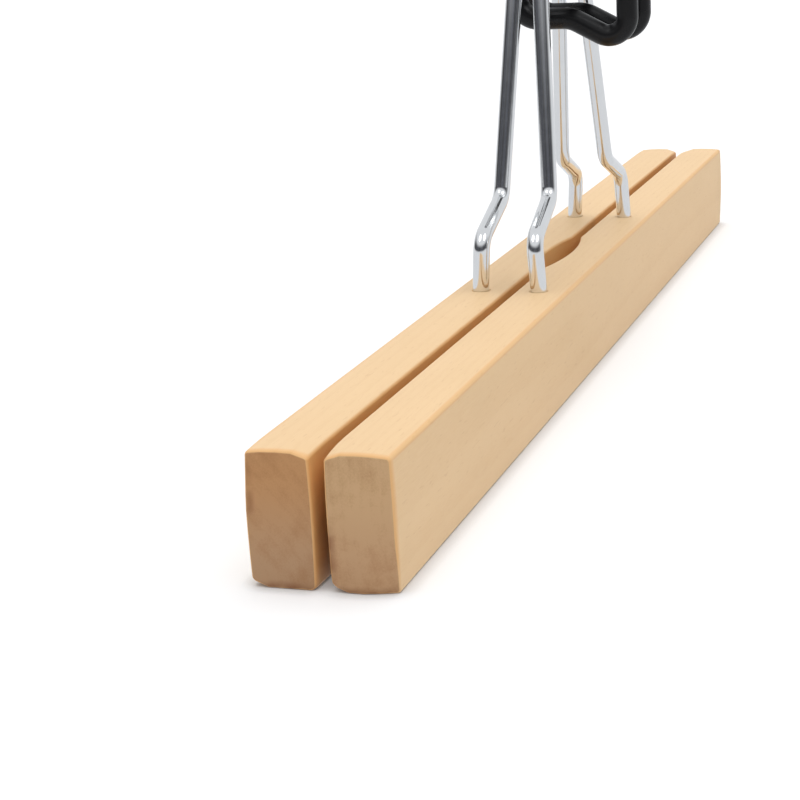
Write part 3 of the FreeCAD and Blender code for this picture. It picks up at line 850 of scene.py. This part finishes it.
def chrome_plate():
    """Bright plate on drawn wire: nearly a mirror, with faint waves and a little haze."""
    material, chrome = new_finish("chrome_plate")
    place = chrome.add("ShaderNodeTexCoord", output="Object")
    waves = chrome.noise(chrome.stretch(place, (1, 1, 0.12)), scale=900)
    haze = chrome.noise(place, scale=420, detail=3)
    chrome.principled({
        "Base Color": chrome.blend(haze, (0.76, 0.77, 0.78, 1), (0.83, 0.84, 0.85, 1)),
        "Metallic": 1.0,
        "Roughness": 0.08 + haze * 0.09,
        "Normal": chrome.bump(waves, strength=0.03, depth=0.00002),
    })
    return material


def black_vinyl():
    """A glossy dipped coat with a slight orange peel."""
    material, vinyl = new_finish("black_vinyl")
    place = vinyl.add("ShaderNodeTexCoord", output="Object")
    peel = vinyl.noise(place, scale=700)
    smear = vinyl.noise(place, scale=160, detail=3)
    vinyl.principled({
        "Base Color": vinyl.blend(smear, (0.004, 0.004, 0.0048, 1), (0.008, 0.008, 0.009, 1)),
        "Roughness": 0.2 + smear * 0.16,
        "Specular IOR Level": 0.26,
        "Normal": vinyl.bump(peel, strength=0.12, depth=0.00006),
    })
    return material


def drawn_steel():
    """Plain wire inside the dipped coat."""
    material, steel = new_finish("drawn_steel")
    place = steel.add("ShaderNodeTexCoord", output="Object")
    haze = steel.noise(place, scale=700)
    steel.principled({
        "Base Color": steel.blend(haze, (0.42, 0.42, 0.43, 1), (0.55, 0.55, 0.56, 1)),
        "Metallic": 1.0,
        "Roughness": 0.3 + haze * 0.15,
    })
    return material


def ray_kinds(finish):
    """1 for the rays that show a thing to the camera, and 1 for those that show it in metal and gloss."""
    rays = finish.add("ShaderNodeLightPath").socket.node.outputs
    names = ("Is Camera Ray", "Is Glossy Ray", "Is Transmission Ray")
    camera, glossy, through = (Wire(finish, rays[name]) for name in names)
    return finish.math("MAXIMUM", camera, through), glossy


def grey(level):
    return (level, level, level, 1)


def white_floor():
    """A white sweep that keeps the object's shadow."""
    bpy.ops.mesh.primitive_plane_add(size=FLOOR_SIZE)
    floor = settle("floor")
    material, paper = new_finish("floor_paper")
    seen, mirrored = ray_kinds(paper)
    plain = paper.add("ShaderNodeBsdfDiffuse", None, {"Color": grey(FLOOR_PLAIN)})
    shaded = paper.add("ShaderNodeBsdfDiffuse", None, {"Color": grey(FLOOR_SHADED)})
    open_sky = paper.add(
        "ShaderNodeAmbientOcclusion",
        {"samples": 4},
        {"Distance": CONTACT_REACH},
        output="AO",
    )
    lift = paper.blend(open_sky ** CONTACT_POWER, grey(0.0), FLOOR_GLOW)
    glow = paper.add("ShaderNodeEmission", None, {"Color": lift})
    bright = paper.add("ShaderNodeAddShader", None, {0: shaded, 1: glow})
    dim = paper.add("ShaderNodeEmission", None, {"Color": MIRRORED_WHITE})
    unseen = paper.add("ShaderNodeMixShader", None, {0: mirrored, 1: plain, 2: dim})
    paper.surface(paper.add("ShaderNodeMixShader", None, {0: seen, 1: unseen, 2: bright}))
    floor.data.materials.append(material)


def flag_cloth():
    """Dark folded cloth that fades to white towards the screen's edges."""
    material, cloth = new_finish("flag_cloth")
    place = cloth.add("ShaderNodeTexCoord", output="Object")
    x, y, z = cloth.axes(place)
    facing = (x * FLAG_WAY.x + y * FLAG_WAY.y) / FLAG_RADIUS
    sides = 1 - cloth.ease(facing, -0.55, 0.25)
    from_base = cloth.ease(z, FLAG_BASE, FLAG_BASE + 0.08)
    from_top = 1 - cloth.ease(z, FLAG_TOP - 0.3, FLAG_TOP)
    fade = cloth.math("MAXIMUM", sides, 1 - from_base * from_top)
    folds = cloth.ease(cloth.noise(cloth.stretch(place, (1, 1, 0.2)), scale=5), 0.35, 0.65)
    dark = cloth.blend(folds, FLAG_DARK, FLAG_FOLD)
    colour = cloth.blend(fade, dark, MIRRORED_WHITE)
    cloth.surface(cloth.add("ShaderNodeEmission", None, {"Color": colour}))
    return material


def dark_flag():
    """A dark screen round the camera's side that only metal and gloss see."""
    bpy.ops.mesh.primitive_cylinder_add(
        vertices=FLAG_FACETS,
        radius=FLAG_RADIUS,
        depth=FLAG_TOP - FLAG_BASE,
        end_fill_type="NOTHING",
        location=(0, 0, (FLAG_BASE + FLAG_TOP) / 2),
    )
    flag = settle("dark_flag")
    pick_faces(flag, lambda centre, normal: centre.xy.normalized().dot(FLAG_WAY) < FLAG_OPENING)
    bpy.ops.mesh.delete(type="FACE")
    bpy.ops.object.mode_set(mode="OBJECT")
    flag.data.materials.append(flag_cloth())
    flag.visible_camera = False
    flag.visible_diffuse = False
    flag.visible_shadow = False


def soft_sun(name, direction, level, spread):
    """An even lamp. The level is the brightness it gives a white surface that faces it."""
    bpy.ops.object.light_add(type="SUN")
    lamp = bpy.context.object
    lamp.name = name
    lamp.data.energy = math.pi * level
    lamp.data.angle = math.radians(spread)
    lamp.rotation_euler = Vector(direction).to_track_quat("Z", "Y").to_euler()
    return lamp


def light_the_set():
    """A white studio, a soft lamp from above, and two sparks that only metal and gloss show."""
    world = bpy.data.worlds.new("studio")
    bpy.context.scene.world = world
    world.use_nodes = True
    air = Finish(world.node_tree)
    seen, mirrored = ray_kinds(air)
    unseen = air.blend(mirrored, grey(SKY_LEVEL), MIRRORED_WHITE)
    sky = air.add("ShaderNodeBackground", None, {"Color": air.blend(seen, unseen, WHITE)})
    air.add("ShaderNodeOutputWorld", None, {"Surface": sky})
    soft_sun("top_light", **TOP_LIGHT).visible_glossy = False
    for name, direction in SPARKS.items():
        soft_sun(name, direction, SPARK_LEVEL, SPARK_SPREAD).visible_diffuse = False


def set_camera():
    """Stand the camera where the photograph was taken from."""
    flat = Vector((math.cos(CAMERA_YAW), math.sin(CAMERA_YAW), 0))
    forward = flat * math.cos(CAMERA_PITCH) - Vector((0, 0, math.sin(CAMERA_PITCH)))
    right = Vector((math.sin(CAMERA_YAW), -math.cos(CAMERA_YAW), 0))
    up = right.cross(forward)
    rolled_right = right * math.cos(CAMERA_ROLL) + up * math.sin(CAMERA_ROLL)
    rolled_up = up * math.cos(CAMERA_ROLL) - right * math.sin(CAMERA_ROLL)
    bpy.ops.object.camera_add()
    camera = bpy.context.object
    turn = Matrix((rolled_right, rolled_up, -forward)).transposed().to_4x4()
    camera.matrix_world = Matrix.Translation(CAMERA_PLACE) @ turn
    camera.data.sensor_width = SENSOR_MM
    camera.data.lens = FOCAL_PIXELS / PHOTO_PIXELS * SENSOR_MM
    camera.data.clip_start = CLIP_START
    bpy.context.scene.camera = camera


for bar_node, bar_look in BAR_LOOKS.items():
    make_bar(bar_node, bar_look["side"], bar_wood(bar_node, bar_look))
plate = chrome_plate()
make_frame("front_frame", -1, plate)
make_frame("rear_frame", 1, plate)
make_hinge_strap(plate)
make_hook_washer(plate)
make_hook(plate)
make_lock_slide_coating(black_vinyl())
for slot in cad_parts["lock_slide_wire"].material_slots:
    slot.material = drawn_steel()
white_floor()
dark_flag()
light_the_set()
set_camera()
bpy.context.scene.view_settings.view_transform = "Standard"
